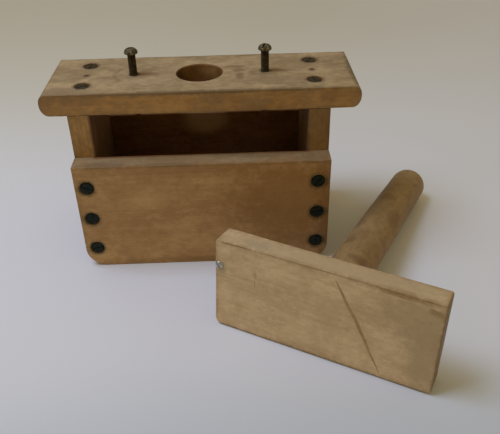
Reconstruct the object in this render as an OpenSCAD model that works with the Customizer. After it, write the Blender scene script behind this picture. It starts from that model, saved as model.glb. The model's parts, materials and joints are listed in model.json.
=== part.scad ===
// One-pound box butter mold: a bottomless wooden box with two adjusting bolts in its
// top board, and a plunger that pushes the block of butter out.
// Millimetres, +Z up. The origin is the centre of the box's footprint on the table.

/* [Layout] */
// Where the plunger is drawn: lying beside the box, or up inside it
layout = "laid_out"; // [laid_out, in_box]
// How far the plunger is pressed down, when it is drawn in the box
press = 0; // [0:0.5:71]

/* [Box] */
// Thickness of every board of the box, half an inch
board_t = 12.7; // [10:0.1:16]
// Length of the box over its end boards
box_l = 149.8; // [146:0.2:165]
// Width of the end boards and of the top board
end_w = 56; // [55:0.5:75]
// Height of the front and back boards
wall_h = 70.5; // [64:0.5:90]
// Height of the open window between a wall and the top board
window_h = 26.4; // [10:0.2:40]
// Radius of the box's rounded lower corners
foot_r = 12; // [3:0.5:12]

/* [Top board] */
// Length of the top board
top_l = 181.6; // [170:0.2:206]
// Sideways offset of the top board on the box
top_shift = 1.3; // [-3:0.1:3]
// Radius of the rounded end, upper edge
nose_top_r = 4; // [2:0.1:5.4]
// Radius of the rounded end, lower edge
nose_bottom_r = 7.2; // [2:0.1:7.6]
// Diameter of the hole for the plunger's handle
hole_d = 26.6; // [26.4:0.1:34]

/* [Wood screws] */
// Diameter of a countersunk head, number 8
screw_head_d = 8.2; // [6:0.1:9]
// Diameter of a screw's shank
screw_d = 4; // [3:0.1:4.8]
// Length of a screw
screw_l = 31.8; // [22:0.2:36]
// Distance of the wall screws from the middle of the box
wall_screw_x = 67.7; // [66:0.1:69]
// Height of the lowest wall screw
wall_screw_z = 13.6; // [12:0.1:18]
// Height from one wall screw to the next
wall_screw_pitch = 21.4; // [12:0.2:24]
// Distance of the top screws from the middle of the box
top_screw_x = 66.5; // [66:0.1:70]
// Half the distance between the two top screws of one end
top_screw_y = 15.3; // [7:0.1:22]

/* [Nails] */
// Diameter of a nail
nail_d = 1.6; // [1.2:0.1:2.2]
// Diameter of a nail's head
nail_head_d = 2.6; // [2.4:0.1:4]
// Length of a nail
nail_l = 25; // [18:1:40]

/* [Adjusting bolts] */
// Distance of each bolt from the middle of the box
bolt_x = 38.8; // [26:0.2:48]
// Diameter over the bolt's thread, number 10
bolt_d = 4.8; // [3.5:0.1:6]
// Length of the bolt under its head
bolt_l = 38.1; // [30:0.1:60]
// Pitch of the thread, 32 to the inch
bolt_pitch = 0.8; // [0.7:0.02:1.2]
// Diameter of the round head
bolt_head_d = 7.9; // [7:0.1:10]
// Height of the round head
bolt_head_h = 3.3; // [2.4:0.1:3.5]
// Gap from the top board up to the head
bolt_gap = 12.9; // [1:0.1:15]

/* [Plunger] */
// Length of the plate
plate_l = 120.8; // [100:0.2:122.4]
// Width of the plate
plate_w = 53.6; // [44:0.2:54]
// Thickness of the plate
plate_t = 13; // [10:0.5:16]
// Radius of the plate's corners
plate_corner_r = 2; // [0.5:0.5:7]
// Radius of the handle where it meets the plate
handle_r = 13; // [11.6:0.1:13.1]
// Radius of the handle near its free end
handle_tip_r = 11.6; // [9:0.1:13]
// Length of the handle behind the plate
handle_l = 163.8; // [120:0.2:200]
// Radius of the rounding at the free end
handle_round_r = 8.2; // [2:0.2:9]
// Radius of the tenon inside the plate
tenon_r = 9; // [5:0.5:11]
// Length of the tenon
tenon_l = 9; // [5:0.5:9.5]
// Diameter of the small screw's head in the plate
plate_screw_head_d = 4.6; // [3.4:0.1:5]

/* [Lying plunger] */
// Sideways place of the middle of the plate's pressing face
lie_x = 59.9; // [50:0.1:100]
// Place of that point in front of the box, negative towards the front
lie_y = -123.6; // [-160:0.1:-122]
// How far the plunger is turned about the vertical
lie_turn = 28.5; // [18:0.5:40]

/* [Hidden] */
$fn = 72;

eps = 0.01;
// Gap around everything that sits in a hole cut to fit it
fit_gap = 0.05;
end_h = wall_h + window_h;
top_z = end_h + board_t;
wall_y = end_w / 2 + board_t;
wall_screw_z_list = [for (i = [0:2]) wall_screw_z + i * wall_screw_pitch];

// A countersunk screw: the head's cone has an 82 degree angle
head_cone_h = (screw_head_d - screw_d) / 2 / tan(41);
head_rim_h = 0.5;
head_sink = 0.2;
slot_w = 1;
slot_depth = 1.1;
thread_root_d = screw_d * 0.72;
screw_tip_h = 5;
plain_shank_l = board_t - 1;

nail_head_h = 0.8;
nail_tip_h = 2.5;

// A thread is drawn as rings of its real pitch, clear of the ends
thread_depth = bolt_pitch * 0.55;
thread_rings = floor((bolt_l - 2) / bolt_pitch);
bolt_end_chamfer = 0.5;
thread_run_in = 0.6;
bolt_slot_w = 1.1;
bolt_slot_depth = 1.6;
bolt_head_z = top_z + bolt_gap;
bolt_tip_z = bolt_head_z - bolt_l;

plate_screw_head_h = 1.3;
plate_screw_slot_w = 0.7;
plate_screw_slot_depth = 0.6;
plate_screw_d = 2.4;
plate_screw_l = 9;
plate_screw_x = -plate_l / 2 + plate_screw_head_d / 2;
plate_screw_y = -plate_w * 0.22;

// The lying plunger rests on the plate's back edge and on the handle's free end
lie_tilt = atan((plate_w / 2 - handle_tip_r) / (handle_l - handle_round_r));
lie_z = plate_w / 2 * cos(lie_tilt) + plate_t * sin(lie_tilt);

// ---------- shared shapes ----------

// The quarter disc that rounds a lower left corner at the origin
module quarter_disc(r) {
    intersection() {
        translate([r, r]) circle(r);
        square(r + eps);
    }
}

// Rectangle from x = 0 whose lower left corner is rounded
module one_foot_profile(w, h, r) {
    translate([0, r]) square([w, h - r]);
    translate([r, 0]) square([w - r, r + eps]);
    quarter_disc(r);
}

// Rectangle centred on x = 0 whose two lower corners are rounded
module two_foot_profile(w, h, r) {
    translate([-w / 2, 0]) one_foot_profile(w / 2 + eps, h, r);
    mirror([1, 0]) translate([-w / 2, 0]) one_foot_profile(w / 2 + eps, h, r);
}

// End profile of the top board, from its rounded end at x = 0 to the right
module nose_profile(w, h, top_r, bottom_r) {
    translate([0, bottom_r]) square([w, h - top_r - bottom_r]);
    translate([bottom_r, 0]) square([w - bottom_r, bottom_r + eps]);
    translate([top_r, h - top_r - eps]) square([w - top_r, top_r + eps]);
    quarter_disc(bottom_r);
    translate([0, h]) mirror([0, 1]) quarter_disc(top_r);
}

// Extrudes an outline drawn in x and height through a depth along Y, centred
module upright(depth) {
    rotate([90, 0, 0]) linear_extrude(height = depth, center = true) children();
}

// Rectangle with four rounded corners, centred
module rounded_rectangle(l, w, r) {
    square([l - 2 * r, w], center = true);
    square([l, w - 2 * r], center = true);
    for (sx = [-1, 1]) {
        for (sy = [-1, 1]) {
            translate([sx * (l / 2 - r), sy * (w / 2 - r)]) circle(r);
        }
    }
}

// ---------- fasteners, each drawn pointing down from z = 0 ----------

module wood_screw(slot_angle) {
    shank_top = -head_sink - head_rim_h - head_cone_h;
    difference() {
        union() {
            translate([0, 0, -head_sink - head_rim_h]) cylinder(h = head_rim_h, d = screw_head_d);
            translate([0, 0, shank_top]) cylinder(h = head_cone_h, d1 = screw_d, d2 = screw_head_d);
            translate([0, 0, -plain_shank_l]) cylinder(h = plain_shank_l + shank_top + eps, d = screw_d);
            translate([0, 0, screw_tip_h - screw_l])
                cylinder(h = screw_l - screw_tip_h - plain_shank_l + eps, d = thread_root_d);
            translate([0, 0, -screw_l]) cylinder(h = screw_tip_h, d1 = 0.4, d2 = thread_root_d);
        }
        rotate([0, 0, slot_angle])
            translate([0, 0, -head_sink - slot_depth / 2 + eps])
                cube([screw_head_d + 1, slot_w, slot_depth], center = true);
    }
}

// The room a wood screw needs in the boards it joins
module wood_screw_hole() {
    cone_top = -head_sink - head_rim_h;
    translate([0, 0, cone_top]) cylinder(h = 1 - cone_top, d = screw_head_d + 2 * fit_gap);
    translate([0, 0, cone_top - head_cone_h])
        cylinder(h = head_cone_h + eps, d1 = screw_d + 2 * fit_gap, d2 = screw_head_d + 2 * fit_gap);
    translate([0, 0, -screw_l - fit_gap]) cylinder(h = screw_l, d = screw_d + 2 * fit_gap);
}

module nail() {
    translate([0, 0, -nail_head_h]) cylinder(h = nail_head_h, d = nail_head_d);
    translate([0, 0, nail_tip_h - nail_l]) cylinder(h = nail_l - nail_tip_h, d = nail_d);
    translate([0, 0, -nail_l]) cylinder(h = nail_tip_h, d1 = 0.3, d2 = nail_d);
}

module nail_hole() {
    translate([0, 0, -nail_head_h - fit_gap]) cylinder(h = nail_head_h + 1, d = nail_head_d + 2 * fit_gap);
    translate([0, 0, -nail_l - fit_gap]) cylinder(h = nail_l, d = nail_d + 2 * fit_gap);
}

// Round slotted head on top of a threaded shank, head's underside at z = 0
module adjusting_bolt(slot_angle) {
    dome_r = (pow(bolt_head_d / 2, 2) + pow(bolt_head_h, 2)) / (2 * bolt_head_h);
    root_r = bolt_d / 2 - thread_depth;
    difference() {
        intersection() {
            translate([0, 0, bolt_head_h - dome_r]) sphere(dome_r);
            cylinder(h = bolt_head_h + 1, d = bolt_head_d + 1);
        }
        rotate([0, 0, slot_angle])
            translate([0, 0, bolt_head_h - bolt_slot_depth / 2 + eps])
                cube([bolt_head_d + 1, bolt_slot_w, bolt_slot_depth], center = true);
    }
    rotate_extrude()
        polygon(concat(
            [[0, eps], [0, -bolt_l]],
            [[root_r - bolt_end_chamfer, -bolt_l], [root_r, bolt_end_chamfer - bolt_l]],
            [for (i = [0:thread_rings - 1]) for (j = [0:1])
                [root_r + j * thread_depth, thread_run_in - bolt_l + (i + j / 2) * bolt_pitch]],
            [[root_r, eps]]
        ));
}

// ---------- places of the fasteners ----------

module at_wall_screws(side, face) {
    for (z = wall_screw_z_list) {
        translate([side * wall_screw_x, face * wall_y, z]) rotate([-face * 90, 0, 0]) children();
    }
}

module at_top_screws(side) {
    for (y = [-top_screw_y, top_screw_y]) {
        translate([side * top_screw_x, y, top_z]) children();
    }
}

module at_nail(side) {
    translate([side * top_screw_x, 0, top_z]) children();
}

// Every hole that the fasteners need on one side of the box
module fastener_holes(side) {
    at_wall_screws(side, -1) wood_screw_hole();
    at_wall_screws(side, 1) wood_screw_hole();
    at_top_screws(side) wood_screw_hole();
    at_nail(side) nail_hole();
}

// ---------- box ----------

module top_board() {
    color("tan") difference() {
        translate([top_shift, 0, end_h]) upright(end_w) {
            translate([-top_l / 2, 0]) nose_profile(top_l / 2 + eps, board_t, nose_top_r, nose_bottom_r);
            mirror([1, 0]) translate([-top_l / 2, 0])
                nose_profile(top_l / 2 + eps, board_t, nose_top_r, nose_bottom_r);
        }
        translate([0, 0, end_h - 1]) cylinder(h = board_t + 2, d = hole_d);
        for (side = [-1, 1]) {
            translate([side * bolt_x, 0, end_h - 1]) cylinder(h = board_t + 2, d = bolt_d + 2 * fit_gap);
            fastener_holes(side);
        }
    }
}

module end_board(side) {
    color("peru") difference() {
        scale([-side, 1, 1]) translate([-box_l / 2, 0, 0])
            upright(end_w) one_foot_profile(board_t, end_h, foot_r);
        fastener_holes(side);
    }
}

module wall_board(face) {
    color("peru") difference() {
        translate([0, face * (end_w + board_t) / 2, 0])
            upright(board_t) two_foot_profile(box_l, wall_h, foot_r);
        for (side = [-1, 1]) {
            at_wall_screws(side, face) wood_screw_hole();
        }
    }
}

module left_end_board() {
    end_board(-1);
}

module right_end_board() {
    end_board(1);
}

module front_board() {
    wall_board(-1);
}

module back_board() {
    wall_board(1);
}

// ---------- screws, nails and bolts ----------

module wall_screws(side, face, slot_angle) {
    color("darkslategray") at_wall_screws(side, face) wood_screw(slot_angle);
}

module front_left_screws() {
    wall_screws(-1, -1, 20);
}

module front_right_screws() {
    wall_screws(1, -1, 75);
}

module back_left_screws() {
    wall_screws(-1, 1, 130);
}

module back_right_screws() {
    wall_screws(1, 1, 50);
}

module top_left_screws() {
    color("darkslategray") at_top_screws(-1) wood_screw(35);
}

module top_right_screws() {
    color("darkslategray") at_top_screws(1) wood_screw(110);
}

module top_left_nail() {
    color("dimgray") at_nail(-1) nail();
}

module top_right_nail() {
    color("dimgray") at_nail(1) nail();
}

module left_adjusting_bolt() {
    color("darkkhaki") translate([-bolt_x, 0, bolt_head_z]) adjusting_bolt(30);
}

module right_adjusting_bolt() {
    color("darkkhaki") translate([bolt_x, 0, bolt_head_z]) adjusting_bolt(65);
}

// ---------- plunger, drawn about the middle of its pressing face, handle up ----------

module place_plunger() {
    if (layout == "in_box") {
        translate([0, 0, bolt_tip_z - plate_t - press]) children();
    } else {
        translate([lie_x, lie_y, lie_z]) rotate([-90 - lie_tilt, 0, -lie_turn]) children();
    }
}

module plunger_plate() {
    color("burlywood") place_plunger() difference() {
        linear_extrude(height = plate_t) rounded_rectangle(plate_l, plate_w, plate_corner_r);
        translate([0, 0, plate_t - tenon_l - fit_gap]) cylinder(h = tenon_l + 1, r = tenon_r + fit_gap);
        translate([plate_screw_x, plate_screw_y, -1])
            cylinder(h = plate_screw_l + 1 + fit_gap, d = plate_screw_d + 2 * fit_gap);
    }
}

// A tapered dowel with a rounded free end and a thinner tenon
module plunger_handle() {
    straight_l = handle_l - handle_round_r;
    color("sienna") place_plunger() translate([0, 0, plate_t]) rotate_extrude() {
        translate([0, -tenon_l]) square([tenon_r, tenon_l + eps]);
        polygon([[0, 0], [handle_r, 0], [handle_tip_r, straight_l], [0, straight_l]]);
        translate([0, straight_l - eps]) square([handle_tip_r - handle_round_r, handle_round_r + eps]);
        intersection() {
            translate([handle_tip_r - handle_round_r, straight_l]) circle(handle_round_r);
            translate([0, straight_l - eps]) square([handle_tip_r + 1, handle_round_r + 1]);
        }
    }
}

// Small round-head screw at the plate's short edge, standing proud of the pressing face
module plate_screw() {
    dome_r = (pow(plate_screw_head_d / 2, 2) + pow(plate_screw_head_h, 2)) / (2 * plate_screw_head_h);
    color("silver") place_plunger() translate([plate_screw_x, plate_screw_y, 0]) {
        difference() {
            intersection() {
                translate([0, 0, dome_r - plate_screw_head_h]) sphere(dome_r);
                translate([0, 0, -plate_screw_head_h - 1])
                    cylinder(h = plate_screw_head_h + 1, d = plate_screw_head_d + 1);
            }
            rotate([0, 0, 40])
                translate([0, 0, plate_screw_slot_depth / 2 - plate_screw_head_h - eps])
                    cube([2 * plate_screw_head_d, plate_screw_slot_w, plate_screw_slot_depth],
                        center = true);
        }
        translate([0, 0, -eps]) cylinder(h = plate_screw_l, d = plate_screw_d);
    }
}

top_board();
left_end_board();
right_end_board();
front_board();
back_board();
front_left_screws();
front_right_screws();
back_left_screws();
back_right_screws();
top_left_screws();
top_right_screws();
top_left_nail();
top_right_nail();
left_adjusting_bolt();
right_adjusting_bolt();
plunger_plate();
plunger_handle();
plate_screw();
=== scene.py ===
"""A butter mold: a bottomless wooden box with two adjusting bolts, and its plunger in front.

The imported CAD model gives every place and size. Each CAD node is stood for by a more detailed
piece: boards with worn arrises, screws with real threads, a cracked plate, a turned handle.
"""

import json
import math

import bmesh
import bpy
import numpy as np
from mathutils import Matrix, Vector, noise


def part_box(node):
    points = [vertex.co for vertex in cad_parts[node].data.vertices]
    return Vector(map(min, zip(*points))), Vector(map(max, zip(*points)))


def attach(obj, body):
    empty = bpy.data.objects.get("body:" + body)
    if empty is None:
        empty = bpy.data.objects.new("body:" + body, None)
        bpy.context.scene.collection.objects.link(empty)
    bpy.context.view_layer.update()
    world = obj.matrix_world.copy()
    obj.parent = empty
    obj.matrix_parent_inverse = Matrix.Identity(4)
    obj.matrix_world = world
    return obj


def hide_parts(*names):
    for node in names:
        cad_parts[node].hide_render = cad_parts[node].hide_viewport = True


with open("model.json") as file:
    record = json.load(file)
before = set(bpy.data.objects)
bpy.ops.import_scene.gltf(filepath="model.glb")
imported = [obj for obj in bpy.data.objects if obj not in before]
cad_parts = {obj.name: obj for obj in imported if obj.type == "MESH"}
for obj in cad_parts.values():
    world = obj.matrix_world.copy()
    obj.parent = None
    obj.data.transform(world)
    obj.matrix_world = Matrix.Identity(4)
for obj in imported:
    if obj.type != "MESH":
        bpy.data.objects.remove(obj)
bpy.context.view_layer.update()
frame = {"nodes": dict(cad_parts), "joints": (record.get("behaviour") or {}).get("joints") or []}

MM = 0.001
X, Y, Z = 0, 1, 2
LOW, HIGH = 0, 1

# Camera, fitted to the photographed viewing angle
CAMERA_PLACE = (0.0212, -0.3705, 0.2560)
CAMERA_PITCH = math.radians(34.08)
CAMERA_YAW = math.radians(-1.04)
CAMERA_ROLL = math.radians(-1.33)
CAMERA_LENS = 47.36
SENSOR_WIDTH = 36.0

# Light: one cool window on the left, in a warm even room
WINDOW_PLACE = (-0.33, -0.07, 0.77)
WINDOW_AIM = (0, -0.03, 0.03)
WINDOW_SIDE = 0.4
WINDOW_POWER = 3.7
WINDOW_COLOUR = (0.56, 0.70, 0.98)
ROOM_COLOUR = (1.0, 0.85, 0.48, 1.0)
ROOM_STRENGTH = 0.39
BACKDROP_COLOUR = (0.40, 0.37, 0.31, 1.0)

# Groups of nodes that are built alike
BOLTS = ("left_adjusting_bolt", "right_adjusting_bolt")
NAILS = ("top_left_nail", "top_right_nail")

# Shape of the worn wood; the noses' radii are along X and along Z
ARRIS = 0.65 * MM
PLATE_ARRIS = 0.45 * MM
FOOT_ROUND = 12 * MM
NOSE_TOP = (3.6 * MM, 5.2 * MM)
NOSE_BOTTOM = (5.0 * MM, 6.5 * MM)
NOSE_BACK = 0.3
END_SKEW = 1.8 * MM
SKEW_REACH = 14 * MM
PLATE_WEDGE = 1.2 * MM
WEDGE_FADE = 0.45
WAVE = 0.12 * MM
EDGE_WIDTH = 1.6 * MM
GRID = 2.2 * MM
FINE_GRID = 0.8 * MM
HANDLE_TIP = 11.6 * MM
HANDLE_ROUND = 8.2 * MM
SHARP = math.radians(38)
ROUND_HEAD_SHARP = math.radians(32)

# Fasteners
SCREW_SHANK = 2.0 * MM
SCREW_CORE = 1.35 * MM
SCREW_PITCH = 1.7 * MM
SCREW_PLAIN = 11.7 * MM
SCREW_SLOT = (0.7 * MM, 0.4 * MM)  # width and depth, like the other slots
WORN_HEAD = 0.93
BOLT_PITCH = 0.8 * MM
BOLT_RADIUS = 2.4 * MM
BOLT_HEAD = 3.26 * MM
BOLT_RIM = 0.45 * MM
BOLT_SLOT = (1.1 * MM, 1.5 * MM)
NAIL_SHANK = 0.8 * MM
PLATE_SCREW_SLOT = (0.7 * MM, 0.75 * MM)

# Holes, and how far cutters stand out of the wood
HANDLE_HOLE = 13.3 * MM
BOLT_HOLE = 2.47 * MM
PLATE_SCREW_HOLE = 1.25 * MM
TENON_RADIUS = 9.0 * MM
TENON_LENGTH = 9.0 * MM
OVERCUT = 1.0 * MM
GROOVE_RISE_MM = 0.35


# ---- geometry helpers


def add_object(name, mesh, matrix=None):
    """A new object for this mesh; the matrix goes into the mesh, as in the CAD's own nodes."""
    mesh.name = name
    if matrix is not None:
        mesh.transform(matrix)
    obj = bpy.data.objects.new(name, mesh)
    bpy.context.scene.collection.objects.link(obj)
    return obj


def mesh_from(verts, faces):
    """A new mesh of these vertices and faces."""
    mesh = bpy.data.meshes.new("new")
    mesh.from_pydata([tuple(v) for v in verts], [], faces)
    mesh.update()
    return mesh


def roughness_at(points, size, seed):
    """Smooth noise from 0 to 1 at each point, with features of this size."""
    shift = Vector((seed * 3.7, seed * 1.3, -seed * 2.1))
    values = [noise.noise(Vector(p) / size + shift) for p in points]
    return np.clip(0.5 + 0.8 * np.array(values), 0, 1)


def grid_lines(lo, hi, rounds, arris):
    """Grid lines from lo to hi: close together on the arris and on any larger round."""
    bend = [arris * math.tan(math.radians(a)) for a in (0, 15, 30, 45)]
    low_end = [lo + b for b in bend]
    high_end = [hi - b for b in reversed(bend)]
    marks = [low_end[-1], high_end[0]]
    for end, radius in rounds:
        marks.append(lo + radius if end == LOW else hi - radius)
    marks.sort()
    inner = []
    for a, b in zip(marks, marks[1:]):
        curved = any(
            (end == LOW and b <= lo + radius + 1e-9) or (end == HIGH and a >= hi - radius - 1e-9)
            for end, radius in rounds
        )
        count = max(1, round((b - a) / (FINE_GRID if curved else GRID)))
        inner += [a + (b - a) * i / count for i in range(1, count + 1)]
    return low_end + inner[:-1] + high_end


def box_grid(lines):
    """Vertices and quads of a box's six sides, cut along these grid lines on each axis."""
    index, verts, faces = {}, [], []
    last = [len(axis) - 1 for axis in lines]

    def vertex(key):
        if key not in index:
            index[key] = len(verts)
            verts.append([lines[axis][key[axis]] for axis in range(3)])
        return index[key]

    for axis in range(3):
        a, b = (axis + 1) % 3, (axis + 2) % 3
        for end in (0, last[axis]):
            for i in range(last[a]):
                for j in range(last[b]):
                    ring = []
                    for di, dj in ((0, 0), (1, 0), (1, 1), (0, 1)):
                        key = [0, 0, 0]
                        key[axis], key[a], key[b] = end, i + di, j + dj
                        ring.append(vertex(tuple(key)))
                    faces.append(ring if end else ring[::-1])
    return np.array(verts), faces


def round_off(co, lo, hi, corner):
    """Bends a square corner of the grid into a quarter ellipse, in the plane of two axes.

    The ellipse may shrink towards the high end of the third axis."""
    a, end_a, b, end_b, radii, far_size = corner
    along_third = 3 - a - b
    travel = (co[:, along_third] - lo[along_third]) / (hi[along_third] - lo[along_third])
    size = 1 + (far_size - 1) * travel
    radius_a, radius_b = radii[0] * size, radii[1] * size
    side_a, side_b = (1 if end_a == HIGH else -1), (1 if end_b == HIGH else -1)
    centre_a = (hi[a] - radius_a) if end_a == HIGH else (lo[a] + radius_a)
    centre_b = (hi[b] - radius_b) if end_b == HIGH else (lo[b] + radius_b)
    u = (co[:, a] - centre_a) * side_a / radius_a
    v = (co[:, b] - centre_b) * side_b / radius_b
    inside = (u > 0) & (v > 0)
    scale = np.ones(len(co))
    scale[inside] = np.maximum(u, v)[inside] / np.hypot(u, v)[inside]
    co[:, a] = centre_a + (co[:, a] - centre_a) * scale
    co[:, b] = centre_b + (co[:, b] - centre_b) * scale


def worn_board(lo, hi, corners, seed, arris=ARRIS):
    """A board between two corners of its own frame, with worn arrises and slightly wavy faces.

    corners are larger rounds of its outline: (axis, end, axis, end, radius along each axis,
    size at the far side). Nothing stands out of the board's box."""
    lo, hi = np.array(lo), np.array(hi)
    lines = []
    for axis in range(3):
        rounds = [(c[1], c[4][0]) for c in corners if c[0] == axis]
        rounds += [(c[3], c[4][1]) for c in corners if c[2] == axis]
        lines.append(grid_lines(lo[axis], hi[axis], rounds, arris))
    co, faces = box_grid(lines)
    radius = (arris * (0.35 + 0.65 * roughness_at(co, 14 * MM, seed)))[:, None]
    core = np.clip(co, lo + radius, hi - radius)
    outward = co - core
    outward /= np.linalg.norm(outward, axis=1)[:, None]
    sink = WAVE * roughness_at(co, 22 * MM, seed + 5)
    co = core + outward * (radius - sink[:, None])
    for corner in corners:
        round_off(co, lo, hi, corner)
    return mesh_from(co, faces)


def skew_ends(mesh, lo, hi):
    """Draws both ends of a board in towards its back edge, as if sawn out of square."""
    for v in mesh.vertices:
        travel = (v.co.y - lo[Y]) / (hi[Y] - lo[Y])
        to_end = min(v.co.x - lo[X], hi[X] - v.co.x)
        share = min(1.0, max(0.0, 1 - to_end / SKEW_REACH))
        v.co.x -= math.copysign(END_SKEW * travel * share, v.co.x)


def thicken_end(mesh, lo, hi):
    """Lets the plate's back side rise from the middle to its left end, most at its upper edge."""
    middle = (lo[X] + hi[X]) / 2
    for v in mesh.vertices:
        share = max(0.0, (middle - v.co.x) / (middle - lo[X]))
        share *= 1 - WEDGE_FADE * (v.co.y - lo[Y]) / (hi[Y] - lo[Y])
        v.co.z += PLATE_WEDGE * share * (v.co.z - lo[Z]) / (hi[Z] - lo[Z])


def turned(rings, segments):
    """A closed solid turned about Z, from rings of (radius, height), lowest first.

    A ring's radius may be a function of the angle. The first and last rings are single points."""
    verts, faces = [(0, 0, rings[0][1])], []
    angles = [2 * math.pi * i / segments for i in range(segments)]
    for radius, height in rings[1:-1]:
        for angle in angles:
            r = radius(angle) if callable(radius) else radius
            verts.append((r * math.cos(angle), r * math.sin(angle), height))
    verts.append((0, 0, rings[-1][1]))
    top = len(verts) - 1
    for i in range(segments):
        j = (i + 1) % segments
        faces.append((0, 1 + j, 1 + i))
        for row in range(len(rings) - 3):
            a, b = 1 + row * segments, 1 + (row + 1) * segments
            faces.append((a + i, a + j, b + j, b + i))
        base = 1 + (len(rings) - 3) * segments
        faces.append((base + i, base + j, top))
    return mesh_from(verts, faces)


def arc(centre_r, centre_z, radius, start, end, count):
    """Rings along an arc in the turning profile, angles in degrees from the outward direction."""
    rings = []
    for i in range(count + 1):
        angle = math.radians(start + (end - start) * i / count)
        rings.append((centre_r + radius * math.cos(angle), centre_z + radius * math.sin(angle)))
    return rings


def thread_rings(start, end, core, crest, pitch, rows_per_turn=7, taper=lambda height: 1.0):
    """Rings of a helical thread between two heights; taper gives its size at each height."""
    rings = []
    count = round((end - start) / pitch * rows_per_turn)
    for i in range(count + 1):
        height = start + (end - start) * i / count
        low, high = core * taper(height), crest * taper(height)

        def radius(angle, height=height, low=low, high=high):
            phase = (height / pitch - angle / (2 * math.pi)) % 1.0
            ridge = 1 - abs(2 * phase - 1)
            return low + (high - low) * min(1.0, 1.25 * ridge)

        rings.append((radius, height))
    return rings


def joined(meshes):
    """One mesh from (mesh, matrix) pairs."""
    bm = bmesh.new()
    for mesh, matrix in meshes:
        copy = mesh.copy()
        copy.transform(matrix)
        bm.from_mesh(copy)
        bpy.data.meshes.remove(copy)
    result = bpy.data.meshes.new("joined")
    bm.to_mesh(result)
    bm.free()
    return result


def cut(mesh, cutters, lining=None):
    """The mesh less these (mesh, matrix) cutters, the cuts lined with another material."""
    body = add_object("cut_body", mesh)
    tool = add_object("cut_tool", joined(cutters))
    if lining is not None:
        tool.data.materials.append(lining)
    modifier = body.modifiers.new("cut", "BOOLEAN")
    modifier.operation = "DIFFERENCE"
    modifier.solver = "MANIFOLD"
    modifier.material_mode = "TRANSFER"
    modifier.object = tool
    depsgraph = bpy.context.evaluated_depsgraph_get()
    result = bpy.data.meshes.new_from_object(body.evaluated_get(depsgraph))
    bpy.data.objects.remove(body)
    bpy.data.objects.remove(tool)
    bpy.data.meshes.remove(mesh)
    return result


def mark(mesh, name, values):
    """Stores one number for each point of the mesh, for its material to read."""
    attribute = mesh.attributes.new(name, "FLOAT", "POINT")
    attribute.data.foreach_set("value", np.asarray(values, np.float32))


def places_of(mesh):
    return np.array([v.co for v in mesh.vertices])


def mark_edges(mesh, lo, hi):
    """Marks how near each point is to the board's arrises, for the material to darken."""
    co = places_of(mesh)
    gaps = np.sort(np.minimum(co - np.array(lo), np.array(hi) - co), axis=1)
    mark(mesh, "edge", np.exp(-((gaps[:, 1] / EDGE_WIDTH) ** 2)))


def mark_inside(mesh):
    """Marks the points that line the chamber, up to just past its worn corners, for the material to
    paint shade on.
    """
    lo, hi = chamber()
    reach = 0.8 * MM
    co = places_of(mesh)
    mark(mesh, "inside", np.all((co > lo - reach) & (co < hi + reach), axis=1))


def bore(radius, lo, hi, flare):
    """A cutter for a round hole between two heights, with worn, rounded rims."""
    rings = [(0, lo - OVERCUT), (radius + flare, lo - OVERCUT)]
    rings += arc(radius + flare, lo + flare, flare, 270, 180, 5)
    rings += arc(radius + flare, hi - flare, flare, 180, 90, 5)
    rings += [(radius + flare, hi + OVERCUT), (0, hi + OVERCUT)]
    return turned(rings, 64)


# ---- shader helpers


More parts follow.
